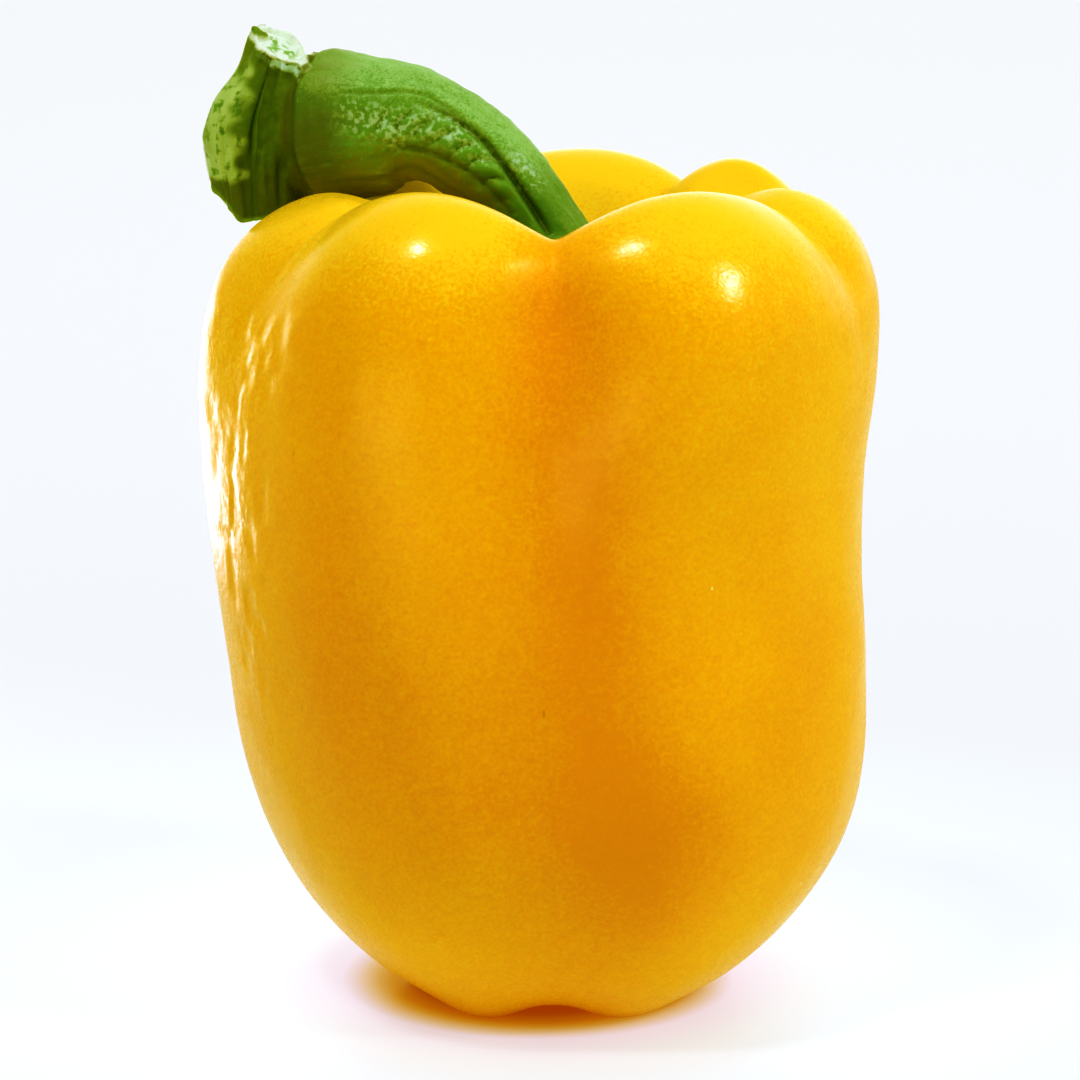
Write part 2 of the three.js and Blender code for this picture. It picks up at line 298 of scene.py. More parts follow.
def light_room():
    """The room is bright behind, above and on the right: each glow falls off with the square of
    how far a direction points its way."""
    world = bpy.data.worlds.new("white room")
    world.use_nodes = True
    start = Wire(world.node_tree)
    direction = start.node("ShaderNodeTexCoord", out="Generated")
    strength = ROOM_EVEN
    for axis, brightness in GLOWS:
        part = start.node("ShaderNodeSeparateXYZ", {}, {0: direction}, out=axis)
        towards = start.math("MAXIMUM", part, 0)
        strength = strength + brightness * towards * towards
    glow = world.node_tree.nodes["Background"]
    glow.inputs["Color"].default_value = ROOM_COLOUR
    feed(glow, Strength=strength)
    bpy.context.scene.world = world


def set_tone():
    """The picture is shown as it is, but with the weaker tones of blue held back, so that yellow
    and green come out as strong as in a vivid print."""
    view = bpy.context.scene.view_settings
    view.view_transform = "Standard"
    view.use_curve_mapping = True
    blue = view.curve_mapping.curves[2]
    for place, height in BLUE_TONES:
        blue.points.new(place, height)
    view.curve_mapping.update()


light_room()
set_tone()
print("glows:", GLOWS)

# %% [markdown]
# ## Small tools for shapes
# Grown things have no straight lines, so a few smooth building blocks carry all the shapes: a
# step without corners, a curve through given points, a fold between two lobes, and smooth
# random heights. Each works on whole arrays of numbers at once, which is what makes a fine
# grid quick.

# %% Steps and curves
def smooth_step(low, high, value):
    """0 below low, 1 above high, and between them 3t^2 - 2t^3, where t is the share of the way."""
    t = np.clip((value - low) / (high - low), 0, 1)
    return t * t * (3 - 2 * t)


def mix(first, second, share):
    return first + (second - first) * share


def within(stretch, place):
    """1 inside a stretch and 0 outside it: one smooth step up times one smooth step down."""
    start, full, ending, end = stretch
    return smooth_step(start, full, place) * (1 - smooth_step(ending, end, place))


def turn_between(first, second):
    """The angle from one direction to another, from -180 to 180 degrees."""
    return (first - second + 180) % 360 - 180


def along(rows, place):
    """A curve through rows of numbers, read at a place counted in rows. Between two rows it is the
    cubic that leaves and arrives at half the difference of the rows on either side."""
    rows = np.asarray(rows, float)
    last = len(rows) - 1
    start = np.clip(np.floor(place).astype(int), 0, last - 1)
    t = (place - start)[..., None]
    a, b, c, d = (rows[np.clip(start + k, 0, last)] for k in (-1, 0, 1, 2))
    leave, arrive = (c - a) / 2, (d - b) / 2
    bend = (3 * (c - b) - 2 * leave - arrive) * t**2 + (2 * (b - c) + leave + arrive) * t**3
    return b + leave * t + bend


def bump(distance, width):
    """A bell-shaped bump: e to the power of minus the square of distance over width."""
    return np.exp(-((distance / width) ** 2))


# %% Lobes and folds
FOLD_RADIUS = 0.07


def lobe_at(grooves, degrees):
    """Which lobe an angle falls in, and how far across it: 0 at one groove and 1 at the next. The
    angle is first turned by whole rounds until it follows the first groove."""
    turned = (degrees - grooves[0]) % 360 + grooves[0]
    lobe = np.searchsorted(grooves, turned, side="right") - 1
    ends = np.append(grooves[1:], grooves[0] + 360)
    return lobe, (turned - grooves[lobe]) / (ends[lobe] - grooves[lobe])


def groove_shape(across, power):
    """1 in the bottom of a groove and 0 at a lobe's middle: 1 minus a power of the sine of the way
    across, with the corner at the bottom rounded. A power of 2 is a wave and 1 or less a fold."""
    lifted = np.hypot(np.sin(np.pi * across), FOLD_RADIUS) - FOLD_RADIUS
    return 1 - (lifted / (math.hypot(1, FOLD_RADIUS) - FOLD_RADIUS)) ** power


# %% Smooth random heights
LATTICE = 48


def rough(points, size, seed):
    """Smooth random heights from -1 to 1. Random numbers stand on the corners of boxes of that
    size, and inside a box the eight are blended by nearness, eased so that no edge shows."""
    numbers = np.random.default_rng(seed).uniform(-1, 1, (LATTICE,) * 3)
    place = points / size
    cell = np.floor(place).astype(int)
    share = smooth_step(0, 1, place - cell)
    total = np.zeros(len(points))
    for corner in itertools.product((0, 1), repeat=3):
        weight = np.prod(np.where(corner, share, 1 - share), axis=1)
        total += weight * numbers[tuple(((cell + corner) % LATTICE).T)]
    return total


ways_across = np.array([0, 0.1, 0.5])
print("a fold is", groove_shape(ways_across, 1).round(2), "deep at", ways_across, "across")

# %% [markdown]
# ## From numbers to a mesh
# A closed skin is a stack of rings with one point at either end. Four neighbours on the grid
# make a face, and the ends close with a fan of triangles. The numbers go into the mesh in one
# call each, and values such as the depth of a fold are kept on the points, for the colours.

# %% Mesh helpers
def ring_faces(rings, sides):
    """The faces of a stack of rings whose points are numbered 1, 2 and so on, ring by ring, with
    point 0 closing the first ring and one more point closing the last."""
    number = 1 + np.arange(rings)[:, None] * sides + np.arange(sides)
    following = np.roll(number, -1, axis=1)
    corners = (number[:-1], following[:-1], following[1:], number[1:])
    quads = np.stack(corners, axis=-1).reshape(-1, 4)
    start = np.stack([np.zeros(sides, int), following[0], number[0]], axis=-1)
    end = np.stack([number[-1], following[-1], np.full(sides, 1 + rings * sides)], axis=-1)
    return start.tolist() + quads.tolist() + end.tolist()


def closed_rings(rings, first, last):
    """All the points of a closed stack of rings, with their faces."""
    points = np.concatenate([[first], rings.reshape(-1, 3), [last]])
    return points, ring_faces(*rings.shape[:2])


def new_piece(name, points, faces):
    """A smooth-shaded object made of points in millimetres."""
    mesh = bpy.data.meshes.new(name)
    mesh.from_pydata((points * MM).tolist(), [], faces)
    mesh.shade_smooth()
    piece = bpy.data.objects.new(name, mesh)
    bpy.context.scene.collection.objects.link(piece)
    return piece


def read_points(mesh):
    points = np.empty(len(mesh.vertices) * 3)
    mesh.vertices.foreach_get("co", points)
    return points.reshape(-1, 3) / MM


def read_normals(mesh):
    normals = np.empty(len(mesh.vertices) * 3)
    mesh.vertex_normals.foreach_get("vector", normals)
    return normals.reshape(-1, 3)


def write_points(mesh, points):
    mesh.vertices.foreach_set("co", (points * MM).astype(np.float32).ravel())
    mesh.update()


def keep_value(mesh, name, values):
    """Stores one number on each point of a mesh, where a material can read it by name."""
    layer = mesh.attributes.new(name, "FLOAT", "POINT")
    layer.data.foreach_set("value", values.astype(np.float32))


# %% [markdown]
# ## The fruit's main shape
# The fruit grew round a core, so its skin is a profile turned about an upright axis. There are
# two profiles, one over the middle of a lobe and one along the bottom of a groove, and the skin
# slides from one to the other and back as it goes round. A sculpted mesh could look the same,
# but this keeps every groove running from the shoulder to the foot, as the real ones do.

# %% Profiles and grooves
FRUIT_HEIGHT = 103
CREST = [
    [0, 4.6], [7, 2.9], [14.8, -0.8], [22.8, 3.1], [30.4, 10.8], [36.1, 20.3],
    [39.2, 31.2], [40.3, 43], [40.7, 55], [41.1, 67], [41.6, 79], [40.4, 90],
    [35.8, 98.7], [28.1, FRUIT_HEIGHT], [20.2, 100.2], [14.2, 93.4], [7.4, 90], [0, 89.6],
]
VALLEY = [
    [0, 4.6], [6.6, 4.5], [13.4, 3.4], [21.8, 5.8], [29.2, 12.8], [34.2, 22],
    [36.9, 32.4], [38, 43.8], [38.3, 55.4], [38.3, 67], [37.6, 78], [35.4, 87.8],
    [31.6, 94.8], [26.4, 98.2], [20, 96.2], [14, 91.8], [7.4, 90], [0, 89.6],
]
AXIS_X = np.array([
    0.5, 0.5, 0.8, 1.2, 1.3, 1.5, 1.2, 0.4, -0.9, -1.3, -0.5, 0.3, 0.8, 1.1, 1.1, 0.8, 0.4, 0.2,
])[:, None]
PROFILE_END = len(CREST) - 1
FOOT = (-1, 0, 2.5, 7)
SIDE = (3, 7, 11.5, 14)
SHOULDER = (9.5, 12.6, 17, 18)
RIM = (10.5, 13, 13.4, 15)
SOFT_VALLEY, SHARP_VALLEY = 2, 0.95
# Each groove: its direction in degrees from +X, how strong it is at the foot, on the side and at
# the shoulder, and how far the lobe after it stands out and rises, in millimetres.
GROOVES = np.array([
    [-91, 0.6, 1.0, 1.0, 0.2, 0.2],
    [-21, 0.15, 0.22, 0.72, -0.5, -1.1],
    [18, 0.1, 0.15, 0.55, -0.4, -0.2],
    [51, 0.95, 0.9, 0.8, 0.4, 0.0],
    [112, 0.4, 0.3, 0.45, 0.2, 0.6],
    [162, 0.8, 0.75, 1.0, 0.1, -2.3],
    [205, 0.2, 0.35, 0.7, 0.8, 0.3],
])
GROOVE_ANGLES = GROOVES[:, 0]
# Low swellings that wind round the side: number, height, turn for each millimetre up, and start.
SWELLINGS = [(2, 0.35, 0.09, 0.6), (3, 0.25, -0.12, 2)]

# %% The bed that the stem has pressed into the shoulder
BED = [[4.4, 98], [6, 98.4], [7.4, 96.9], [8.4, 95.9], [8.8, 94.8], [9, 93]]
BED_START, BED_STEP = -13, -6
BED_RADIUS = 7.5
BED_BLEND = 1.6


def soft_lower(first, second, blend):
    """The lower of two heights, less a quarter of the blend times the square of their nearness."""
    near = np.clip(1 - np.abs(first - second) / blend, 0, 1)
    return np.minimum(first, second) - near**2 * blend / 4


def bed_height(x, y):
    """A trough: its bottom's height plus the square of the way across it over twice its radius."""
    place = np.clip((x - BED_START) / BED_STEP, 0, len(BED) - 1)
    trough = along(BED, place)
    return trough[..., 1] + (y - trough[..., 0]) ** 2 / (2 * BED_RADIUS)


# %% The skin
def fruit_skin(place, degrees):
    """Points of the skin and how deep in a groove each lies. Radius and height are read from the
    two profiles and blended by the depth of the groove there, then the lobe's own width and
    height and the low swellings are added, and the radius is turned about the leaning axis."""
    lobe, across = lobe_at(GROOVE_ANGLES, degrees)
    foot, shoulder = within(FOOT, place), within(SHOULDER, place)

    def strength_of(groove):
        at_foot, at_side, at_shoulder = GROOVES[groove, 1:4].transpose(2, 0, 1)
        return mix(mix(at_side, at_foot, foot), at_shoulder, shoulder)

    following = (lobe + 1) % len(GROOVES)
    strength = mix(strength_of(lobe), strength_of(following), smooth_step(0, 1, across))
    valley = strength * groove_shape(across, mix(SOFT_VALLEY, SHARP_VALLEY, shoulder))
    crest, low = along(CREST, place), along(VALLEY, place)
    out, rise = GROOVES[lobe, 4], GROOVES[lobe, 5]
    middle = np.sin(np.pi * across) ** 2
    angle = np.radians(degrees)
    height = mix(crest[..., 1], low[..., 1], valley) + rise * middle * within(RIM, place)
    swelling = sum(
        tall * np.sin(count * angle + turn * height + start)
        for count, tall, turn, start in SWELLINGS
    )
    radius = mix(crest[..., 0], low[..., 0], valley)
    radius = radius + (out * middle + swelling) * within(SIDE, place)
    x = along(AXIS_X, place)[..., 0] + radius * np.cos(angle)
    y = radius * np.sin(angle)
    bedded = mix(height, soft_lower(height, bed_height(x, y), BED_BLEND), shoulder)
    return np.stack([x, y, np.maximum(bedded, 0)], axis=-1), valley


# %% The fruit's grid
FRUIT_ROWS = 282
FRUIT_COLUMNS = 318
GATHER = 0.6


def fruit_columns():
    """The directions of the grid's columns, which stand closer together in the grooves: a share t
    of a lobe becomes t less a part of the sine of a whole turn of t."""
    ends = np.append(GROOVE_ANGLES[1:], GROOVE_ANGLES[0] + 360)
    columns = []
    for start, end in zip(GROOVE_ANGLES, ends):
        count = round((end - start) * FRUIT_COLUMNS / 360)
        t = np.arange(count) / count
        columns.append(start + (end - start) * (t - GATHER * np.sin(2 * np.pi * t) / (2 * np.pi)))
    return np.concatenate(columns)


def frame_shift(points):
    """How far to move points so that their box stands on the middle of the fruit's box."""
    low, high = (np.array(corner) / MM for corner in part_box("fruit"))
    own = (points.min(axis=0) + points.max(axis=0)) / 2
    return ((low + high) / 2 - own) * (1, 1, 0)


columns = fruit_columns()
rows = PROFILE_END * np.arange(1, FRUIT_ROWS) / FRUIT_ROWS
fruit_places, fruit_degrees = np.meshgrid(rows, columns, indexing="ij")
fruit_rings, fruit_valley = fruit_skin(fruit_places, fruit_degrees)
pole_points, pole_valley = fruit_skin(np.array([[0.0, PROFILE_END]]), np.zeros((1, 2)))
fruit_points, fruit_faces = closed_rings(fruit_rings, *pole_points[0])
SHIFT = frame_shift(fruit_points)
print("fruit points:", len(fruit_points), "moved by", SHIFT.round(2), "mm")

# %% [markdown]
# ## Relief on the fruit
# A pepper's skin is never a perfect sweep. It has broad, shallow dents as wide as a thumb, faint
# upright flutes between the ribs inside, and small creases where the shoulder folds over. They
# are far too low to see in the outline, but they break up every reflection. They could all be
# bump in the material, but real relief also shows in the mesh itself.

# %% Fruit relief
DENT_SIZE, DENT_HEIGHT = np.array([15.0, 15.0, 24.0]), 0.26
RIPPLE_SIZE, RIPPLE_HEIGHT = np.array([5.0, 5.0, 8.0]), 0.06
FLUTE_DEGREES, FLUTE_LENGTH, FLUTE_HEIGHT = 7.0, 60, 0.07
FLUTE_STRETCH = (8, 30, 80, 98)
CREASE_SIZE, CREASE_HEIGHT = np.array([1.6, 1.6, 3.5]), 0.05
CREASE_STRETCH = (60, 82, 96, 104)
FRONT_GROOVE = -90.5
FRONT_STRETCH = (48, 74, 88, 98)
# Half the width in degrees and the depth in mm of the fold's sharp middle and its soft sides.
FRONT_FOLDS = [(10, 0.8), (19, 0.5)]
DING_SIZE, DING_DEPTH = np.array([2.4, 2.4, 3]), 0.22
# Where the skin got rubbed: direction, half width in degrees, stretch in height, and strength.
WORN = [(-154, 24, (34, 48, 84, 95), 1.0), (-44, 18, (80, 87, 96, 101), 0.4)]
# The relief ends this near the surface that the fruit stands on, and this far from the stem.
RESTING = (0.2, 3.0)
STEM_ASIDE, STEM_HEIGHTS, STEM_LEFT = (6, 12), (84, 88), -42


def near_stem(points):
    """How close a point of the skin lies under the stem or the calyx, from 1 beneath them to 0 a
    few millimetres to the side."""
    along_bed = np.clip(points[:, 0], STEM_LEFT, 0)
    middle = along(BED, np.clip((along_bed - BED_START) / BED_STEP, 0, len(BED) - 1))[:, 0]
    middle = np.where(along_bed > BED_START, middle * along_bed / BED_START, middle)
    aside = np.hypot(points[:, 0] - along_bed, points[:, 1] - middle)
    return (1 - smooth_step(*STEM_ASIDE, aside)) * smooth_step(*STEM_HEIGHTS, points[:, 2])


def worn_places(points, degrees):
    """Up to 1 where the fruit lay against its neighbours, and 0 away from there."""
    return sum(
        strength * bump(turn_between(degrees, at), wide) * within(stretch, points[:, 2])
        for at, wide, stretch, strength in WORN
    )


def fruit_relief(points, degrees):
    """Broad dents, faint upright flutes, small ripples, fine creases on the shoulders, a sharper
    fold in the front groove, and dings in the worn places."""
    height = points[:, 2]
    dents = DENT_HEIGHT * rough(points, DENT_SIZE, 11)
    ripples = RIPPLE_HEIGHT * rough(points, RIPPLE_SIZE, 12)
    around_and_up = [degrees / FLUTE_DEGREES, np.zeros_like(degrees), height / FLUTE_LENGTH]
    flutes = FLUTE_HEIGHT * rough(np.stack(around_and_up, axis=1), 1.0, 13)
    flutes = flutes * within(FLUTE_STRETCH, height)
    creases = CREASE_HEIGHT * rough(points, CREASE_SIZE, 14) * within(CREASE_STRETCH, height)
    aside = turn_between(degrees, FRONT_GROOVE)
    folds = -sum(deep * bump(aside, wide) for wide, deep in FRONT_FOLDS)
    folds = folds * within(FRONT_STRETCH, height)
    dings = -DING_DEPTH * smooth_step(0, 0.7, rough(points, DING_SIZE, 15))
    dings = dings * worn_places(points, degrees)
    resting = smooth_step(*RESTING, height)
    total = dents + ripples + flutes + creases + folds + dings
    return total * resting * (1 - near_stem(points))


fruit_degrees = np.concatenate([[0], fruit_degrees.ravel(), [0]])
fruit_depth = np.concatenate([pole_valley[0, :1], fruit_valley.ravel(), pole_valley[0, 1:]])
fruit = new_piece("fruit_skin", fruit_points + SHIFT, fruit_faces)
relief = fruit_relief(fruit_points, fruit_degrees)
outward = read_normals(fruit.data)
write_points(fruit.data, fruit_points + SHIFT + outward * relief[:, None])
print("relief from", relief.min().round(2), "to", relief.max().round(2), "mm")

# %% [markdown]
# ## Where the skin is deeper orange
# The fruit is not one yellow. It turns deeper, towards orange, down in the grooves as painted
# shade, in soft patches low on the front, which are partly its own tone and partly painted shade,
# and in patches round the back, and its top is painted paler as painted light from above. These
# are soft areas on the skin, each given by a direction, a height and a size, so the same skin
# could grow on any pepper.

# %% Ripeness
# The patches towards the front are partly the skin's own tone and partly painted shade.
# Each patch: direction in degrees, height, half width in degrees, half height in mm, and strength.
PATCHES = [
    (-82, 68, 10, 28, 0.75),
    (-91, 92, 9, 16, 0.7),
    (-75, 25, 16, 14, 0.75),
    (-123, 56, 15, 34, 0.45),
    (-98, 36, 52, 26, 0.5),
    (-40, 44, 16, 18, 0.2),
    (58, 40, 22, 30, 0.6),
    (120, 56, 20, 26, 0.45),
    (166, 34, 20, 20, 0.6),
    (10, 24, 22, 16, 0.4),
]
# A top painted paler between these heights, as painted light from above.
PAINTED_PALE_TOP, PALE_HEIGHTS = 0.62, (89, 102)
RIPE_DRIFT, DRIFT_SIZE = 0.16, np.array([16.0, 16.0, 22.0])
# The blossom scar's place and half its size in mm, and the top of what may belong to it.
SCAR_X, SCAR_SIZE, SCAR_TOP = 0.5, 2.6, 20
# The sunken top, by places on the profile, and the front fold's half width and stretch.
SUNKEN = (13.1, 14.2)
FOLD_WIDTH, FOLD_STRETCH = 7, (76, 82, 94, 99)


def ripeness_light_and_shade(points, degrees):
    """The sum of soft oval patches and random drifts, less a top painted paler as painted light.
    """
    total = RIPE_DRIFT * rough(points, DRIFT_SIZE, 21)
    total = total - PAINTED_PALE_TOP * smooth_step(*PALE_HEIGHTS, points[:, 2])
    for at, height, wide, tall, strength in PATCHES:
        across, up = turn_between(degrees, at) / wide, (points[:, 2] - height) / tall
        total = total + strength * np.exp(-(across**2) - up**2)
    return total


ripe = ripeness_light_and_shade(fruit_points, fruit_degrees)
blossom_scar = bump(np.hypot(fruit_points[:, 0] - SCAR_X, fruit_points[:, 1]), SCAR_SIZE)
blossom_scar = blossom_scar * (fruit_points[:, 2] < SCAR_TOP)
# Painted shade: the depth of each groove, which paints the skin deeper orange there.
keep_value(fruit.data, "hollow", fruit_depth)
keep_value(fruit.data, "ripe", ripe)
keep_value(fruit.data, "scar", blossom_scar)
keep_value(fruit.data, "worn", worn_places(fruit_points, fruit_degrees))
fruit_places = np.concatenate([[0], fruit_places.ravel(), [PROFILE_END]])
in_fold = bump(turn_between(fruit_degrees, FRONT_GROOVE), FOLD_WIDTH)
in_fold = in_fold * within(FOLD_STRETCH, fruit_points[:, 2])
keep_value(fruit.data, "sheltered", np.maximum(smooth_step(*SUNKEN, fruit_places), in_fold))
print("ripeness from", ripe.min().round(2), "to", ripe.max().round(2))

# %% [markdown]
# ## The skin's finish
# The skin is a clear wax over yellow flesh. Light goes in, wanders through the flesh and comes
# out more orange, so some of the light is scattered under the surface. The wax is glossy, but
# fine as orange peel, so a lamp's reflection has a grainy edge. A few dark pinpricks and small
# painted glints keep it from looking moulded.

# %% Skin
PALE_YELLOW = (0.9, 0.53, 0.06, 1)
YELLOW = (0.85, 0.38, 0.001, 1)
DEEP_YELLOW = (0.8, 0.29, 0.0005, 1)
ORANGE = (0.74, 0.2, 0.0002, 1)
SPECK = (0.12, 0.04, 0.004, 1)
GLINT = (1.0, 0.86, 0.6, 1)
SCAR_BROWN = (0.22, 0.12, 0.03, 1)
# The sizes of the skin's random shades, and how deep its orange peel is, all in mm.
DRIFT_MM, MOTTLE_MM, PEEL_MM, RUB_MM = 9, 0.9, 0.42, 1.3
PEEL_DEPTH = 0.034
# Kinds of mark: the cells' size in mm, a mark's radius as a share of it, and how many have one.
SPECKS, SCRATCHES, GLINTS = (7.5, 0.022, 0.45), (3.6, 0.035, 0.3), (6.3, 0.03, 0.22)
# How deep light goes into the flesh, in metres, and how much further red goes than green and blue.
FLESH_DEPTH, FLESH_SPREAD = 0.006, (1.0, 0.42, 0.05)


def skin_finish():
    material, shader, start = new_finish("waxy yellow skin")
    place = start.node("ShaderNodeTexCoord", out="Object")
    drift = clouds(start, place, DRIFT_MM, detail=3)
    mottle = clouds(start, place, MOTTLE_MM, detail=2)
    # Painted shade: deeper orange in the grooves, by their depth.
    orange_share = value_on(start, "ripe") + 0.15 * value_on(start, "hollow") + (drift - 0.5) * 0.5
    peel = clouds(start, place, PEEL_MM, detail=1)
    orange_share = orange_share + (mottle - 0.5) * 0.5 + (peel - 0.5) * 1.3
    stops = [(0, PALE_YELLOW), (1 / 3, YELLOW), (2 / 3, DEEP_YELLOW), (1, ORANGE)]
    colour = ramp(start, (orange_share + 0.5) * (1 / 1.5), stops)
    specks = flecks(start, place, *SPECKS)
    colour = blend(start, specks * 0.85, colour, SPECK)
    scratches = flecks(start, place, *SCRATCHES, stretch=(1, 1, 5))
    colour = blend(start, scratches * 0.5, colour, SPECK)
    # Painted glints: small pale dots.
    glints = flecks(start, place, *GLINTS, stretch=(1, 1, 1.8))
    colour = blend(start, glints * 0.7, colour, GLINT)
    colour = blend(start, value_on(start, "scar"), colour, SCAR_BROWN)
    sheltered = value_on(start, "sheltered")
    roughness = 0.14 + 0.16 * drift + 0.1 * mottle + 0.4 * sheltered
    rubbed = value_on(start, "worn") * clouds(start, place, RUB_MM, detail=3)
    relief = peel + 0.7 * mottle + 7 * rubbed
    normal = bumpy(start, relief, PEEL_DEPTH)
    feed(shader, Base_Color=colour, Roughness=roughness, Normal=normal)
    set_constants(shader, Subsurface_Weight=0.2, Subsurface_Scale=FLESH_DEPTH)
    set_constants(shader, Subsurface_Radius=FLESH_SPREAD, Specular_IOR_Level=0.4)
    return material


fruit.data.materials.append(skin_finish())
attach(fruit, "root")
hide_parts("fruit")
print("skin nodes:", len(fruit.data.materials[0].node_tree.nodes))

# %% [markdown]
# ## The stem, the calyx and the piece of branch
# The stem leaves the calyx upright, bends over to the left and swells before it meets the branch
# that it hung from. A tube swept along a curve gives the stem, a second one gives the branch,
# and the calyx is the foot of the first, spread over the sunken top in six blunt points. The two
# bodies are then filled with tiny cubes and wrapped again as one skin, because a grown joint
# has no seam.

# %% Stem and calyx surfaces
# Each point of the stem's middle line: x, y and z, then half the height and half the depth.
STEM = np.array([
    [0.2, 0.2, 93.2, 5.2, 5.2], [0.1, 0.3, 94.3, 5, 5], [-0.6, 0.6, 96.2, 4.9, 4.8],
    [-2.8, 1.4, 99.2, 5.1, 4.9], [-5.7, 2.3, 102.4, 5.6, 5.1], [-8.6, 3.3, 104.7, 6, 5.4],
    [-12.8, 4.4, 107.1, 6.4, 5.8], [-17, 5.6, 108.3, 7.4, 6.4], [-21.6, 6.6, 108, 8.9, 7],
    [-26.1, 7.8, 107.7, 9.6, 7], [-30.6, 8.6, 107.4, 8.6, 6], [-34, 9, 107, 5.4, 4.4],
])
STEM_END = len(STEM) - 1
STEM_RIBS = np.array([-82, -32, 28, 92, 150, 215])
RIB_DEPTH = 0.07
CALYX_GAP = 0.6
CALYX_POINTS, CALYX_BAY, CALYX_REACH = 6, 15.2, 0.62
CALYX_EDGE, CALYX_ROOT = 0.9, 2.6
FLARE, FLARE_HEIGHT = 2.2, 1.7
STEM_SIDES = 180
STEM_RINGS = 260


def calyx_rim(degrees):
    """The rim as a place on the fruit's profile: a bay, less a reach that rises to a blunt point
    six times round, no two points alike."""
    wave = 0.5 + 0.5 * np.cos(np.radians(CALYX_POINTS * degrees + 20))
    uneven = 0.25 * np.sin(np.radians(2 * degrees + 40)) + 0.15 * np.sin(np.radians(3 * degrees))
    return CALYX_BAY - CALYX_REACH * wave**1.5 * (1 + uneven)


def calyx_rings(shares, degrees, on_top):
    """Rings from the middle of the sunken top, share 0, to the rim, share 1, lifted off the fruit.
    The top is thicker by a power of the way in from the rim."""
    share, turned = np.meshgrid(shares, degrees, indexing="ij")
    points, _ = fruit_skin(mix(PROFILE_END, calyx_rim(turned), share), turned)
    thick = mix(CALYX_EDGE, CALYX_ROOT, ((1 - share) / 0.45) ** 0.8) if on_top else 0
    points[..., 2] += CALYX_GAP + thick
    return points


def stem_frames(places):
    """Points of the middle line with the two directions across it. The second stays as near to +Y
    as the line allows, and the first is square to both it and the line."""
    middle = along(STEM[:, :3], places)
    ahead = np.gradient(middle, axis=0)
    ahead /= np.linalg.norm(ahead, axis=1, keepdims=True)
    back = np.array([0, 1, 0]) - ahead * ahead[:, 1:2]
    back /= np.linalg.norm(back, axis=1, keepdims=True)
    return middle, np.cross(back, ahead), back


def stem_rings(places, degrees):
    """Ovals across the middle line, pulled in at the furrows and spread at the foot."""
    middle, up, back = stem_frames(places)
    size = along(STEM[:, 3:], places)
    flare = np.where(places < 3, FLARE * np.exp(-(middle[:, 2] - STEM[0, 2]) / FLARE_HEIGHT), 0)
    size = size + flare[:, None]
    _, across = lobe_at(STEM_RIBS, degrees)
    furrow = RIB_DEPTH * (1 - smooth_step(9, 10.5, places))[:, None] * groove_shape(across, 1)
    turn = np.radians(degrees)
    reach_up = (size[:, :1] * (1 - furrow) * np.cos(turn))[..., None]
    reach_back = (size[:, 1:] * (1 - furrow) * np.sin(turn))[..., None]
    return middle[:, None] + reach_up * up[:, None] + reach_back * back[:, None]


def calyx_and_stem():
    degrees = 360 * np.arange(STEM_SIDES) / STEM_SIDES
    under = calyx_rings(np.linspace(0.1, 1, 28), degrees, False)
    over = calyx_rings(np.linspace(1, 0.55, 16), degrees, True)
    stem = stem_rings(STEM_END * np.linspace(0, 1, STEM_RINGS), degrees)
    first = calyx_rings(np.zeros(1), np.zeros(1), False)[0, 0]
    return closed_rings(np.concatenate([under, over, stem]), first, STEM[-1, :3])


# %% Branch surface
# The middle line of the piece of branch from its lower cut up: x, y, z and radius.
BRANCH = np.array([
    [-35.2, 9, 94, 5.4], [-35.8, 9, 99.3, 5.5], [-36.1, 9, 104.6, 5.6],
    [-35.8, 8.8, 109.9, 5.4], [-34.2, 8.4, 115.2, 4], [-32.5, 7.8, 120.5, 3.8],
])
BRANCH_END = len(BRANCH) - 1
BRANCH_FURROWS = np.array([-110, -72, -20, 40, 100, 165, 215])
FURROW_DEPTH = 0.12
SCAR_SIDE, SCAR_HEIGHT, SCAR_SWELL = 185, 106, 1.6
SPIKE_SIDE, SPIKE_WIDTH, SPIKE_HEIGHT = 196, 11, 1.2
# Each cut is a plane, given by a point on it and the way it faces.
TOP_CUT = (np.array([-32.8, 7.8, 117.9]), np.array([0.4, -0.36, 0.84]))
CUT_RADIUS = 4.2
SIDE_CUT = (np.array([-39.5, 9, 97.8]), np.array([-0.72, 0, -0.69]))
UNDER_CUT = (np.array([-37.9, 9, 96.1]), np.array([0.19, 0, -0.98]))
# The way that the branch leans under its top cut.
LEAN = np.array([0.32, -0.11, 1])
BRANCH_RINGS = 150


def over_plane(cut, points):
    """How far straight above a point its cut lies."""
    at, faces = cut
    return (at - points) @ faces / faces[2]


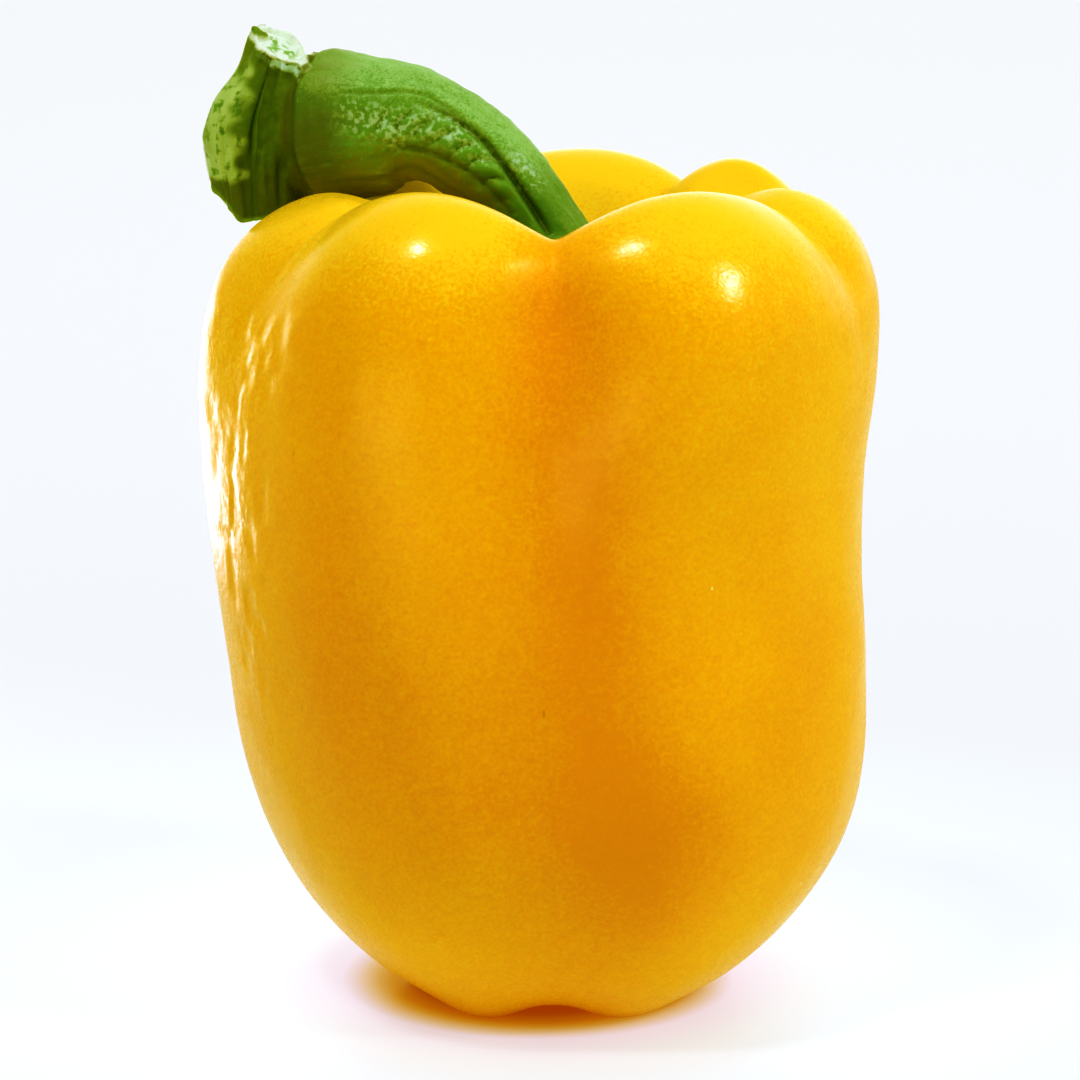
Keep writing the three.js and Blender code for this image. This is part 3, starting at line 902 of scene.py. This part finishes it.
def branch_surface():
    """Level rings round the middle line, pulled in at the furrows and out at the leaf scar. What
    reaches past the top cut is moved back along the branch onto it, and past a lower cut up."""
    degrees = 360 * np.arange(STEM_SIDES) / STEM_SIDES
    line = along(BRANCH, BRANCH_END * np.linspace(0, 1, BRANCH_RINGS))
    _, across = lobe_at(BRANCH_FURROWS, degrees)
    facing = np.cos(np.radians(degrees - SCAR_SIDE)) * 0.5 + 0.5
    scar = SCAR_SWELL * facing**4 * bump(line[:, 2:3] - SCAR_HEIGHT, 5)
    reach = line[:, 3:] * (1 - FURROW_DEPTH * groove_shape(across, 1)) + scar
    turn = np.radians(degrees)
    x, y = line[:, :1] + reach * np.cos(turn), line[:, 1:2] + reach * np.sin(turn)
    rings = np.stack([x, y, np.broadcast_to(line[:, 2:3], x.shape)], axis=-1)
    at, faces = TOP_CUT
    past = (rings - at) @ faces / (LEAN @ faces)
    past = past - SPIKE_HEIGHT * bump(turn_between(degrees, SPIKE_SIDE), SPIKE_WIDTH)
    rings -= np.maximum(past, 0)[..., None] * LEAN
    floor = np.maximum(over_plane(SIDE_CUT, rings), over_plane(UNDER_CUT, rings))
    rings[..., 2] += np.maximum(floor, 0)
    return closed_rings(rings, rings[0].mean(axis=0), rings[-1].mean(axis=0))


# %% One skin over both
VOXEL_MM = 0.27
EVEN_OUT = 4


def applied(piece):
    """Replaces an object's mesh by what its modifiers make of it."""
    evaluated = piece.evaluated_get(bpy.context.evaluated_depsgraph_get())
    mesh = bpy.data.meshes.new_from_object(evaluated)
    piece.modifiers.clear()
    piece.data = mesh
    return piece


def one_skin(name, bodies):
    """Joins closed bodies by wrapping them in one skin of small square faces."""
    points, faces = bodies[0]
    for more_points, more_faces in bodies[1:]:
        faces = faces + [[corner + len(points) for corner in face] for face in more_faces]
        points = np.concatenate([points, more_points])
    piece = new_piece(name, points + SHIFT, faces)
    wrap = piece.modifiers.new("wrap", "REMESH")
    wrap.mode, wrap.voxel_size = "VOXEL", VOXEL_MM * MM
    wrap.use_smooth_shade = True
    even = piece.modifiers.new("even", "SMOOTH")
    even.factor, even.iterations = 0.5, EVEN_OUT
    return applied(piece)


stem = one_skin("stem_calyx_and_branch", [calyx_and_stem(), branch_surface()])
print("stem faces:", len(stem.data.polygons))

# %% [markdown]
# ## Knowing where on the stem a point is
# Ribs and furrows run along the stem, so each point of the new skin needs to know how far along
# the stem it is and how far round. Both come from the nearest point of the middle line. Points
# on the branch are told by their height and direction round the branch instead.

# %% Places on the stem
LINE_POINTS = 420
# Where the branch's skin ends, as shares of its radius, where the branch starts, by height, and
# where the calyx turns into the stem, in mm along it.
BRANCH_SKIN, BRANCH_START, CALYX_END = (1.05, 1.5), (91, 95), (0.8, 2.6)


def stem_places(points):
    """For each point: millimetres along the stem, degrees round it, and distance from its line."""
    places = STEM_END * np.linspace(0, 1, LINE_POINTS)
    middle, up, back = stem_frames(places)
    walked = np.concatenate([[0], np.cumsum(np.linalg.norm(np.diff(middle, axis=0), axis=1))])
    far = (points**2).sum(axis=1)[:, None] - 2 * points @ middle.T + (middle**2).sum(axis=1)
    nearest = far.argmin(axis=1)
    away = points - middle[nearest]
    turned = np.degrees(np.arctan2((away * back[nearest]).sum(1), (away * up[nearest]).sum(1)))
    return walked[nearest], turned, np.linalg.norm(away, axis=1)


def branch_places(points):
    """For each point: degrees round the branch and distance from its middle, as a share of its
    radius there."""
    place = np.interp(points[:, 2], BRANCH[:, 2], np.arange(len(BRANCH)))
    line = along(BRANCH, place)
    away = points[:, :2] - line[:, :2]
    degrees = np.degrees(np.arctan2(away[:, 1], away[:, 0]))
    return degrees, np.linalg.norm(away, axis=1) / line[:, 3]


stem_points = read_points(stem.data) - SHIFT
walked, turned, distance = stem_places(stem_points)
branch_turned, branch_share = branch_places(stem_points)
in_branch = 1 - smooth_step(*BRANCH_SKIN, branch_share)
in_branch = in_branch * smooth_step(*BRANCH_START, stem_points[:, 2])
in_calyx = 1 - smooth_step(*CALYX_END, walked)
in_stem = (1 - in_branch) * (1 - in_calyx)
print("the stem's line is", walked.max().round(1), "mm long")

# %% [markdown]
# ## Relief on the stem
# The stem is fibrous. Long furrows run along it between rounded ribs, the belly of the bend is
# wrinkled across like the inside of an elbow, and fine lines follow its length. The cut ends are
# rough pith inside a thin rim.

# %% Furrows
# Each furrow: places along the stem in mm, degrees round it, depths in mm and width in mm.
FURROWS = [
    ([2, 3.7, 6.8, 9, 11.1, 12.6, 14.4, 17.7, 20.4, 24],
     [-84, -83, -80, -77, -73, -69, -63, -61, -59, -57],
     [0.5, 1.0, 1.1, 1.1, 1.0, 1.0, 0.9, 0.8, 0.5, 0.05], 0.42),
    ([18, 19.6, 22.5, 25.8, 29.4, 31.5], [-54, -52, -45, -49, -50, -52],
     [0.05, 0.3, 0.35, 0.35, 0.3, 0.05], 0.3),
    ([6, 14, 22, 30], [-112, -108, -112, -118], [0.3, 0.45, 0.4, 0.1], 0.5),
    ([6, 20, 34, 46], [-156, -150, -140, -130], [0.1, 0.15, 0.1, 0.05], 0.7),
    ([6, 20, 34, 46], [150, 145, 150, 160], [0.4, 0.6, 0.5, 0.1], 0.8),
    ([6, 20, 34, 46], [92, 88, 95, 100], [0.4, 0.6, 0.5, 0.1], 0.8),
    ([6, 20, 34, 46], [30, 24, 20, 24], [0.3, 0.5, 0.4, 0.1], 0.8),
]
# The same for the branch, by height in mm and degrees round it.
BRANCH_LINES = [
    ([96, 100, 103.3, 106.6, 109.7, 111.5, 114.5, 120],
     [-104, -103, -102, -97, -93, -91, -91, -101],
     [0.5, 1.0, 1.3, 1.4, 1.4, 1.3, 1.1, 0.8], 0.85),
    ([96, 100.4, 105.9, 111.4, 116.9, 120], [-92, -91, -79, -75, -80, -84],
     [0.3, 0.6, 0.7, 0.7, 0.6, 0.4], 0.5),
    ([97, 102, 108, 114], [-133, -131, -130, -124], [0.3, 0.7, 0.6, 0.3], 0.5),
    ([96, 102, 108, 114, 118], [-60, -56, -50, -52, -56], [0.3, 0.6, 0.6, 0.5, 0.3], 0.5),
]


def line_marks(lines, place, degrees, distance):
    """How deep each point lies in a line, in millimetres: bell-shaped across each line."""
    total = np.zeros_like(place)
    for places, angles, depths, width in lines:
        aside = np.radians(turn_between(degrees, np.interp(place, places, angles))) * distance
        total += np.interp(place, places, depths, left=0, right=0) * bump(aside, width)
    return total


# %% Stem relief
KNUCKLE_SPACING = 2.7
KNUCKLE_HEIGHT = 0.85
KNUCKLE_PLACE = (7, 10, 25, 31)
KNUCKLE_BAND = 17.0
# The middle of the row of knuckles: places along the stem in mm and degrees round it.
KNUCKLE_LINE = ([8, 16, 24, 30], [-98, -88, -84, -86])
RING_MARK = (30.6, -46, 0.6)
ARCH_MARK = (31.2, -98, 1.9)
SEAM_DEPTH = 0.5
# Painted sheen: pale patches where the knuckles catch the light, each by its place along the stem
# in mm, degrees round it, and half its size in mm.
PAINTED_SHEEN_SPOTS = [
    (29.6, -70, 2.2), (27.2, -77, 1.8), (25, -86, 2.2), (24, -96, 1.6), (21.5, -80, 1.7),
    (19, -76, 1.8), (16.4, -80, 1.7), (13.6, -85, 1.4), (10.4, -56, 1.4), (8, -57, 1.5),
]


def knuckles(walked, turned, distance):
    """A row of rounded bumps below the main furrow: a wave along the stem, its crests rounder
    than its hollows, shifted a little by random heights and fading to either side."""
    middle = np.interp(walked, *KNUCKLE_LINE)
    aside = turn_between(turned, middle) / KNUCKLE_BAND
    spread = np.stack([walked / 4, aside * 1.5, distance / 9], axis=1)
    wave = np.sin(np.pi * walked / KNUCKLE_SPACING + 1.1 * rough(spread, 1.0, 34) + aside)
    return KNUCKLE_HEIGHT * (np.abs(wave) ** 0.7 - 0.5) * np.exp(-(aside**2))


def around(mark, walked, turned, distance):
    """How far a point lies from a mark on the stem, in millimetres."""
    place, degrees, _ = mark
    return np.hypot(walked - place, np.radians(turn_between(turned, degrees)) * distance)


def stem_relief(points):
    """Lumps, fine lines along the length, knuckles below the furrow, furrows and two marks."""
    lumps = 0.2 * rough(points, 5.5, 31) + 0.09 * rough(points, 2.2, 32)
    lengthwise = np.stack([walked / 9, np.radians(turned) * distance / 0.7, distance / 9], axis=1)
    lines = 0.1 * rough(lengthwise, 1.0, 33)
    nubs = 0.1 * rough(points, 1.2, 35)
    row = within(KNUCKLE_PLACE, walked)
    bumps = row * knuckles(walked, turned, distance)
    furrows = line_marks(FURROWS, walked, turned, distance)
    ring = around(RING_MARK, walked, turned, distance)
    arch = around(ARCH_MARK, walked, turned, distance)
    over = smooth_step(0, 1.5, np.radians(turn_between(turned, ARCH_MARK[1])) * distance)
    marks = 0.14 * bump(ring - RING_MARK[2], 0.18) + 0.25 * bump(arch, 1.2)
    outline = bump(arch - ARCH_MARK[2], 0.45) * over * (0.5 + rough(points, 1.5, 36))
    # Painted shade: darker in the furrows, in the fine lines' hollows, on the arch mark's outline,
    # in the ring's middle and between the knuckles.
    dark = furrows + 0.3 * outline + 0.2 * bump(ring, 0.3) - 2 * np.minimum(lines, 0)
    dark = dark - 1.7 * np.minimum(bumps, 0)
    shape = lumps + lines + nubs + bumps + marks - furrows - 0.12 * outline
    return shape * in_stem, dark * in_stem


def painted_sheen():
    """Where painted sheen lies on the stem: soft round patches."""
    total = sum(
        bump(around((place, degrees, 0), walked, turned, distance), size)
        for place, degrees, size in PAINTED_SHEEN_SPOTS
    )
    return np.clip(total, 0, 1) * in_stem


def branch_relief(points):
    """Upright fibres and lumps on the branch, and its sharp furrows."""
    radius = np.interp(points[:, 2], BRANCH[:, 2], BRANCH[:, 3])
    furrows = line_marks(BRANCH_LINES, points[:, 2], branch_turned, radius)
    _, across = lobe_at(BRANCH_FURROWS, branch_turned)
    creases = bump(np.minimum(across, 1 - across), 0.1)
    upright = np.stack([np.radians(branch_turned) * 9, points[:, 2] / 7, points[:, 0] / 9], axis=1)
    fibres = 0.08 * rough(upright, 1.0, 41)
    lumps = 0.22 * rough(points, 3.2, 42)
    shape = lumps + fibres - furrows - 0.15 * creases
    # Painted shade in the furrows and creases.
    return shape * in_branch, (furrows + 0.3 * creases) * in_branch


# %% Cut faces and leaf scar
CUT_SKIN = (0.25, 0.5)
# The leaf scar's half width in degrees, where it starts to fade and has ended, and its stretch.
SCAR_SIDES, SCAR_STRETCH = (36, 82), (100.6, 102, 112, 119)
# The pith's outer reach and its sunken middle as shares of the cut's radius, how deep the middle
# lies, and how rough pith is, both in mm.
PITH_REACH, PITH_MIDDLE, PITH_SINK, PITH_ROUGH = 1.25, 0.75, 0.5, 0.3
LOW_CUT_TOP, LOW_CUT_REACH = 104, 1.3


def on_cut(cut, points):
    """1 on a cut plane and 0 a few tenths of a millimetre below it."""
    at, faces = cut
    depth = (at - points) @ (faces / np.linalg.norm(faces))
    return 1 - smooth_step(*CUT_SKIN, np.abs(depth))


cut_share = np.linalg.norm(stem_points - TOP_CUT[0], axis=1) / CUT_RADIUS
pith = on_cut(TOP_CUT, stem_points) * (cut_share < PITH_REACH)
low_cut = np.maximum(on_cut(SIDE_CUT, stem_points), on_cut(UNDER_CUT, stem_points))
low_cut = low_cut * (stem_points[:, 2] < LOW_CUT_TOP) * (branch_share < LOW_CUT_REACH)
low_cut = low_cut * in_branch
facing_left = 1 - smooth_step(*SCAR_SIDES, np.abs(turn_between(branch_turned, SCAR_SIDE)))
leaf_scar = facing_left * within(SCAR_STRETCH, stem_points[:, 2])
leaf_scar = smooth_step(0.2, 0.9, leaf_scar + 0.4 * rough(stem_points, 1.4, 44)) * in_branch
stem_heights, stem_shade = stem_relief(stem_points)
branch_heights, branch_shade = branch_relief(stem_points)
cut = np.maximum(pith, low_cut)
pith_heights = PITH_ROUGH * rough(stem_points, 0.9, 43) * cut
pith_heights = pith_heights - PITH_SINK * pith * (cut_share < PITH_MIDDLE)
seam = 4 * in_branch * (1 - in_branch) * (1 - in_calyx)
heights = (stem_heights + branch_heights - SEAM_DEPTH * seam) * (1 - cut) + pith_heights
outward = read_normals(stem.data)
write_points(stem.data, stem_points + SHIFT + outward * heights[:, None])
print("stem relief from", heights.min().round(2), "to", heights.max().round(2), "mm")

# %% Values for the stem's colours
# On the cut, as shares of its radius: where the rim starts and where the green middle ends.
RIM_SHARES, MIDDLE_SHARES = (0.92, 1.05), (0.35, 0.75)
# A direction and a half width in degrees: the branch's lit side, the stem's belly, and a painted
# highlight on the branch, with how far below the cut that lies in mm.
LIT_SIDE, BELLY, STUB_HIGHLIGHT_SIDE = (190, 50), (-95, 45), (-62, 38)
STUB_HIGHLIGHT_DEPTHS = (0.4, 0.6, 1.1, 1.5)
# Where painted shade lies: the olive foot of the branch, by height, and then places along the
# stem in mm: where the olive end starts, and where the dark foot ends.
LOW_BRANCH, OLIVE_SHADE_END, SHADED_FOOT = (100, 106), (28, 34), (5, 11)


def side_of(degrees, side):
    """1 on one side of the stem or branch and less the further round from there."""
    direction, half_width = side
    return bump(turn_between(degrees, direction), half_width)


# Painted shade in the furrows and creases and between the knuckles.
keep_value(stem.data, "furrow", np.clip(stem_shade * 1.6 + branch_shade * 0.8, 0, 1))
keep_value(stem.data, "pith", pith)
keep_value(stem.data, "low_cut", low_cut)
keep_value(stem.data, "leaf_scar", leaf_scar)
keep_value(stem.data, "rim", pith * smooth_step(*RIM_SHARES, cut_share))
keep_value(stem.data, "middle", 1 - smooth_step(*MIDDLE_SHARES, cut_share))
# The branch is a darker green of its own, with painted shade all round it except on its lit side.
keep_value(stem.data, "branch", in_branch * (1 - 0.8 * side_of(branch_turned, LIT_SIDE)))
keep_value(stem.data, "bloom", painted_sheen())
# Painted light from above: how far each point faces up, 1 on top of the bend and 0 beneath it.
facing_up = 0.5 + 0.5 * np.cos(np.radians(turned))
keep_value(stem.data, "sunny", mix(facing_up, 0.35 + 0.3 * leaf_scar, in_branch))
# Painted shade: dark olive where the branch and the stem meet, under the bend near the branch,
# and low on the branch.
low_branch = in_branch * (1 - smooth_step(*LOW_BRANCH, stem_points[:, 2]))
under_bend = 0.5 + 0.5 * side_of(turned, BELLY)
near_branch = smooth_step(*OLIVE_SHADE_END, walked) * in_stem * under_bend
olive = np.clip(seam + 0.8 * low_branch + near_branch, 0, 1) * (1 - leaf_scar)
keep_value(stem.data, "olive", olive)
# Painted shade at the stem's foot, down in the sunken top.
keep_value(stem.data, "foot", (1 - smooth_step(*SHADED_FOOT, walked)) * (1 - in_branch))
# A painted highlight just below the cut, on its right side.
below_cut = (TOP_CUT[0] - stem_points) @ TOP_CUT[1]
torn = within(STUB_HIGHLIGHT_DEPTHS, below_cut + 0.3 * rough(stem_points, 0.8, 45))
torn = torn * side_of(branch_turned, STUB_HIGHLIGHT_SIDE) * in_branch
keep_value(stem.data, "torn", torn)

# %% [markdown]
# ## The stem's finish
# Fresh green stalk is almost white where it was cut. Its green is painted lighter on top of the
# bend and darker beneath it, as painted light and shade, and darker in its furrows, between its
# knuckles and where the branch meets the stem, as painted shade, with pale painted sheen on the
# knuckles. It is duller than the fruit, with only a soft sheen on the ribs.

# %% Stem finish
DARK_GREEN = (0.012, 0.045, 0.002, 1)
SHADE_OLIVE = (0.035, 0.04, 0.002, 1)
SHADED_FOOT_GREEN = (0.02, 0.12, 0.03, 1)
# Painted light and shade: from the shaded underside of the bend to its lit top.
SHADED_TO_LIT_GREENS = [
    (0, (0.16, 0.15, 0.006, 1)), (0.3, (0.1, 0.18, 0.02, 1)), (0.5, (0.06, 0.24, 0.08, 1)),
    (0.75, (0.075, 0.26, 0.11, 1)), (1, (0.2, 0.43, 0.22, 1)),
]
LIGHT_GREEN = (0.17, 0.38, 0.05, 1)
PALE_GREEN = (0.42, 0.6, 0.32, 1)
PALE_SHEEN = (0.4, 0.66, 0.6, 1)
PITH = (0.6, 0.71, 0.6, 1)
PITH_GREEN = (0.14, 0.36, 0.16, 1)
# The sizes of the stalk's random shades and how deep its fibres are, all in mm.
BROAD_MM, SMALL_MM, GRAIN_MM, SHEEN_MM, BLOTCH_MM = 6, 1.1, 0.3, 0.7, 1.3
FIBRE_DEPTH = 0.08
STALK_DEPTH, STALK_SPREAD = 0.003, (0.4, 1.0, 0.1)


def stem_finish():
    material, shader, start = new_finish("fresh green stalk")
    place = start.node("ShaderNodeTexCoord", out="Object")
    broad = clouds(start, place, BROAD_MM, detail=3)
    small = clouds(start, place, SMALL_MM, detail=3)
    grain = clouds(start, place, GRAIN_MM, detail=2)
    furrow = value_on(start, "furrow")
    pith = value_on(start, "pith")
    sunny = value_on(start, "sunny") + (broad - 0.5) * 0.5 + (small - 0.5) * 0.4
    # Painted light and shade: lighter on top of the bend, darker beneath it.
    colour = ramp(start, sunny + (grain - 0.5) * 0.8, SHADED_TO_LIT_GREENS)
    # Painted shade at the stem's foot.
    colour = blend(start, value_on(start, "foot") * 0.7, colour, SHADED_FOOT_GREEN)
    colour = blend(start, step_up(start, small, 0.58, 0.8) * 0.25, colour, PALE_GREEN)
    # The branch's own darker green, and painted shade away from its lit side.
    shade = value_on(start, "branch") * (0.2 + 1.05 * small)
    colour = blend(start, shade, colour, DARK_GREEN)
    # Painted shade: dark olive between the stem and the branch and low on the branch.
    colour = blend(start, value_on(start, "olive") * 0.8, colour, SHADE_OLIVE)
    # Painted shade in the furrows.
    colour = blend(start, furrow * 0.88, colour, DARK_GREEN)
    patchy = step_up(start, clouds(start, place, SHEEN_MM, detail=4), 0.44, 0.62)
    # Painted sheen: pale bluish patches on the knuckles.
    colour = blend(start, value_on(start, "bloom") * patchy * 0.6, colour, PALE_SHEEN)
    scar = value_on(start, "leaf_scar") * step_up(start, small, 0.3, 0.5)
    colour = blend(start, scar * 0.8, colour, PALE_GREEN)
    # Painted highlight: pale bluish just below the cut, on its right side.
    colour = blend(start, value_on(start, "torn") * step_up(start, small, 0.4, 0.55), colour, PALE_SHEEN)
    blotches = step_up(start, clouds(start, place, BLOTCH_MM, detail=2), 0.46, 0.6)
    cut_colour = blend(start, blotches * value_on(start, "middle"), PITH, PITH_GREEN)
    colour = blend(start, pith, colour, cut_colour)
    colour = blend(start, value_on(start, "low_cut") * 0.5, colour, LIGHT_GREEN)
    colour = blend(start, value_on(start, "rim") * 0.85, colour, DARK_GREEN)
    relief = grain + small * 1.5
    roughness = 0.4 + 0.2 * small + 0.25 * pith + 0.2 * value_on(start, "branch")
    normal = bumpy(start, relief, FIBRE_DEPTH)
    feed(shader, Base_Color=colour, Roughness=roughness, Normal=normal)
    set_constants(shader, Subsurface_Weight=0.08, Subsurface_Scale=STALK_DEPTH)
    set_constants(shader, Subsurface_Radius=STALK_SPREAD, Specular_IOR_Level=0.38)
    return material


stem.data.materials.clear()
stem.data.materials.append(stem_finish())
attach(stem, "root")
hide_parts("stem_and_calyx")
print("stem nodes:", len(stem.data.materials[0].node_tree.nodes))
